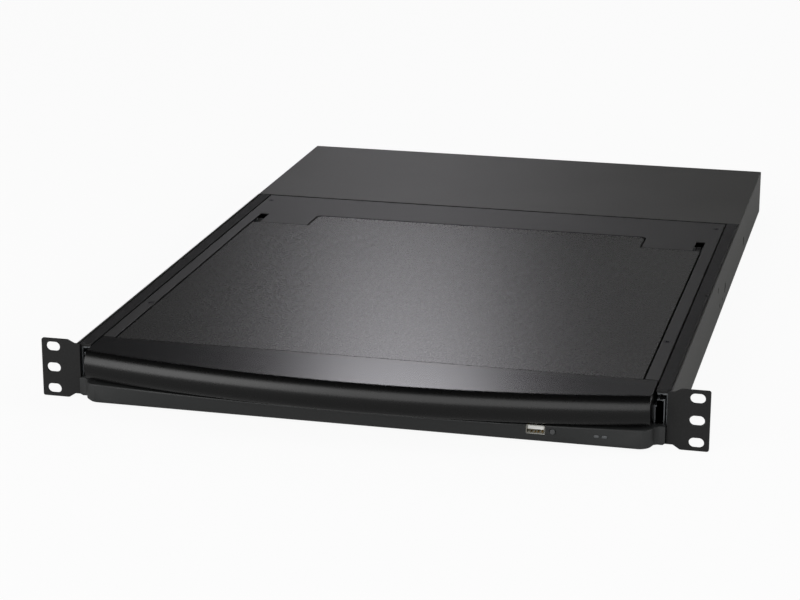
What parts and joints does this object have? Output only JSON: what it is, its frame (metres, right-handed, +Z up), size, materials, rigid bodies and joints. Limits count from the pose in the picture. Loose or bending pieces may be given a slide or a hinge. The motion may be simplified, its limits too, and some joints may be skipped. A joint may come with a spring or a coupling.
{
  "type": "rackmount lcd console drawer",
  "caption": "One-unit 19 inch rack drawer with a fold-up flat screen, keyboard and touchpad on ball slides, closed.",
  "frame": {"origin": "centre of the rack bolt pattern, on the plane where the ears seat on the rack posts", "axes": "+X to the right seen from the front, +Y back into the rack, +Z up"},
  "size_m": [0.4826, 0.685, 0.0436],
  "materials": {
    "painted_steel": "fine powder coat, satin",
    "zinc_steel": "bright zinc plate",
    "black_plastic": "fine moulded texture",
    "gloss_black": "polished",
    "key_plastic": "satin",
    "screen_glass": "anti-glare",
    "module_metal": "bare sheet",
    "circuit_board": "solder mask",
    "soft_rubber": "matt",
    "connector_shell": "nickel plate",
    "light_pipe": "clear moulding",
    "black_screw": "black zinc"
  },
  "bodies": {
    "chassis": {"chassis_pan": "painted_steel", "rear_cover": "painted_steel", "rear_panel": "painted_steel", "ear_bracket_right": "painted_steel", "ear_bracket_left": "painted_steel", "slide_outer_right": "zinc_steel", "slide_outer_left": "zinc_steel", "chassis_screws": "black_screw", "power_supply": "circuit_board", "main_board": "circuit_board", "power_inlet": "black_plastic", "power_switch_frame": "black_plastic", "rear_ports": "connector_shell", "arm_bracket": "zinc_steel"},
    "rocker": {"power_rocker": "black_plastic"},
    "arm_rear": {"cable_arm_rear": "zinc_steel", "arm_elbow_pin": "zinc_steel"},
    "arm_front": {"cable_arm_front": "zinc_steel"},
    "slide_middle_right": {"slide_middle_right": "zinc_steel"},
    "slide_middle_left": {"slide_middle_left": "zinc_steel"},
    "cage_outer_right": {"ball_cage_outer_right": "zinc_steel"},
    "cage_outer_left": {"ball_cage_outer_left": "zinc_steel"},
    "cage_inner_right": {"ball_cage_inner_right": "zinc_steel"},
    "cage_inner_left": {"ball_cage_inner_left": "zinc_steel"},
    "drawer": {"slide_inner_right": "zinc_steel", "slide_inner_left": "zinc_steel", "drawer_tray": "painted_steel", "drawer_top_frame": "painted_steel", "drawer_screws": "black_screw", "front_bezel": "black_plastic", "usb_port_front": "connector_shell", "status_light": "light_pipe", "front_board": "circuit_board", "keyboard_deck": "black_plastic", "keyboard_base": "module_metal", "touchpad": "black_plastic", "drawer_board": "circuit_board", "hinge_brackets": "zinc_steel", "hinge_pins": "zinc_steel"},
    "reset": {"reset_button": "black_plastic"},
    "touch_left": {"touchpad_button_left": "key_plastic"},
    "touch_right": {"touchpad_button_right": "key_plastic"},
    "function_row": {"function_keys": "key_plastic"},
    "number_row": {"number_keys": "key_plastic"},
    "upper_row": {"upper_keys": "key_plastic"},
    "home_row": {"home_keys": "key_plastic"},
    "shift_row": {"shift_keys": "key_plastic"},
    "bottom_row": {"bottom_keys": "key_plastic"},
    "space": {"space_bar": "key_plastic"},
    "keypad": {"keypad_keys": "key_plastic"},
    "lid": {"hinge_arms": "zinc_steel", "lid_cover": "painted_steel", "lid_bezel": "black_plastic", "lcd_glass": "screen_glass", "lcd_module": "module_metal", "lid_bumpers": "soft_rubber", "handle_shell": "black_plastic", "handle_bar": "gloss_black"},
    "osd": {"osd_buttons": "black_plastic"},
    "screen_power": {"screen_power_button": "black_plastic"}
  },
  "joints": [
    {"name": "drawer_slide", "type": "slide", "parent": "chassis", "child": "drawer", "axis": [0, -1, 0], "range_m": [0, 0.42]},
    {"name": "slide_middle_right_run", "type": "slide", "parent": "chassis", "child": "slide_middle_right", "axis": [0, -1, 0], "range_m": [0, 0.2105]},
    {"name": "cage_outer_right_run", "type": "slide", "parent": "chassis", "child": "cage_outer_right", "axis": [0, -1, 0], "range_m": [0, 0.1055]},
    {"name": "cage_inner_right_run", "type": "slide", "parent": "chassis", "child": "cage_inner_right", "axis": [0, -1, 0], "range_m": [0, 0.3155]},
    {"name": "slide_middle_left_run", "type": "slide", "parent": "chassis", "child": "slide_middle_left", "axis": [0, -1, 0], "range_m": [0, 0.2105]},
    {"name": "cage_outer_left_run", "type": "slide", "parent": "chassis", "child": "cage_outer_left", "axis": [0, -1, 0], "range_m": [0, 0.1055]},
    {"name": "cage_inner_left_run", "type": "slide", "parent": "chassis", "child": "cage_inner_left", "axis": [0, -1, 0], "range_m": [0, 0.3155]},
    {"name": "arm_rear_swing", "type": "hinge", "parent": "chassis", "child": "arm_rear", "pos_m": [-0.185, 0.47, 0], "axis": [0, 0, -1], "range_deg": [0, 34.7]},
    {"name": "arm_front_swing", "type": "hinge", "parent": "arm_rear", "child": "arm_front", "pos_m": [0.185, 0.47, 0], "axis": [0, 0, 1], "range_deg": [0, 69.4]},
    {"name": "lid_hinge", "type": "hinge", "parent": "drawer", "child": "lid", "pos_m": [0, 0.368, 0.0122], "axis": [-1, 0, 0], "range_deg": [0, 115]},
    {"name": "power_rocker_tilt", "type": "hinge", "parent": "chassis", "child": "rocker", "pos_m": [0.112, 0.637, 0], "axis": [0, 0, 1], "range_deg": [0, 16]},
    {"name": "reset_press", "type": "slide", "parent": "drawer", "child": "reset", "axis": [0, 1, 0], "range_m": [0, 0.001], "stiffness_N_per_m": 500, "springref_m": -0.0005},
    {"name": "touch_left_press", "type": "slide", "parent": "drawer", "child": "touch_left", "axis": [0, 0, -1], "range_m": [0, 0.0008], "stiffness_N_per_m": 900, "springref_m": -0.0005},
    {"name": "touch_right_press", "type": "slide", "parent": "drawer", "child": "touch_right", "axis": [0, 0, -1], "range_m": [0, 0.0008], "stiffness_N_per_m": 900, "springref_m": -0.0005},
    {"name": "function_row_press", "type": "slide", "parent": "drawer", "child": "function_row", "axis": [0, 0, -1], "range_m": [0, 0.002], "stiffness_N_per_m": 1500, "springref_m": -0.0005},
    {"name": "number_row_press", "type": "slide", "parent": "drawer", "child": "number_row", "axis": [0, 0, -1], "range_m": [0, 0.002], "stiffness_N_per_m": 1500, "springref_m": -0.0005},
    {"name": "upper_row_press", "type": "slide", "parent": "drawer", "child": "upper_row", "axis": [0, 0, -1], "range_m": [0, 0.002], "stiffness_N_per_m": 1500, "springref_m": -0.0005},
    {"name": "home_row_press", "type": "slide", "parent": "drawer", "child": "home_row", "axis": [0, 0, -1], "range_m": [0, 0.002], "stiffness_N_per_m": 1500, "springref_m": -0.0005},
    {"name": "shift_row_press", "type": "slide", "parent": "drawer", "child": "shift_row", "axis": [0, 0, -1], "range_m": [0, 0.002], "stiffness_N_per_m": 1500, "springref_m": -0.0005},
    {"name": "bottom_row_press", "type": "slide", "parent": "drawer", "child": "bottom_row", "axis": [0, 0, -1], "range_m": [0, 0.002], "stiffness_N_per_m": 1500, "springref_m": -0.0005},
    {"name": "space_press", "type": "slide", "parent": "drawer", "child": "space", "axis": [0, 0, -1], "range_m": [0, 0.002], "stiffness_N_per_m": 1500, "springref_m": -0.0005},
    {"name": "keypad_press", "type": "slide", "parent": "drawer", "child": "keypad", "axis": [0, 0, -1], "range_m": [0, 0.002], "stiffness_N_per_m": 1500, "springref_m": -0.0005},
    {"name": "osd_press", "type": "slide", "parent": "lid", "child": "osd", "axis": [0, 0, 1], "range_m": [0, 0.0006], "stiffness_N_per_m": 900, "springref_m": -0.0005},
    {"name": "screen_power_press", "type": "slide", "parent": "lid", "child": "screen_power", "axis": [0, 0, 1], "range_m": [0, 0.0006], "stiffness_N_per_m": 900, "springref_m": -0.0005}
  ],
  "couplings": [
    {"joint": "slide_middle_right_run", "follows": "drawer_slide", "ratio": 0.5},
    {"joint": "cage_outer_right_run", "follows": "drawer_slide", "ratio": 0.25},
    {"joint": "cage_inner_right_run", "follows": "drawer_slide", "ratio": 0.75},
    {"joint": "slide_middle_left_run", "follows": "drawer_slide", "ratio": 0.5},
    {"joint": "cage_outer_left_run", "follows": "drawer_slide", "ratio": 0.25},
    {"joint": "cage_inner_left_run", "follows": "drawer_slide", "ratio": 0.75},
    {"joint": "arm_rear_swing", "follows": "drawer_slide", "rad_per_m": 1.437},
    {"joint": "arm_front_swing", "follows": "drawer_slide", "rad_per_m": 2.874}
  ]
}
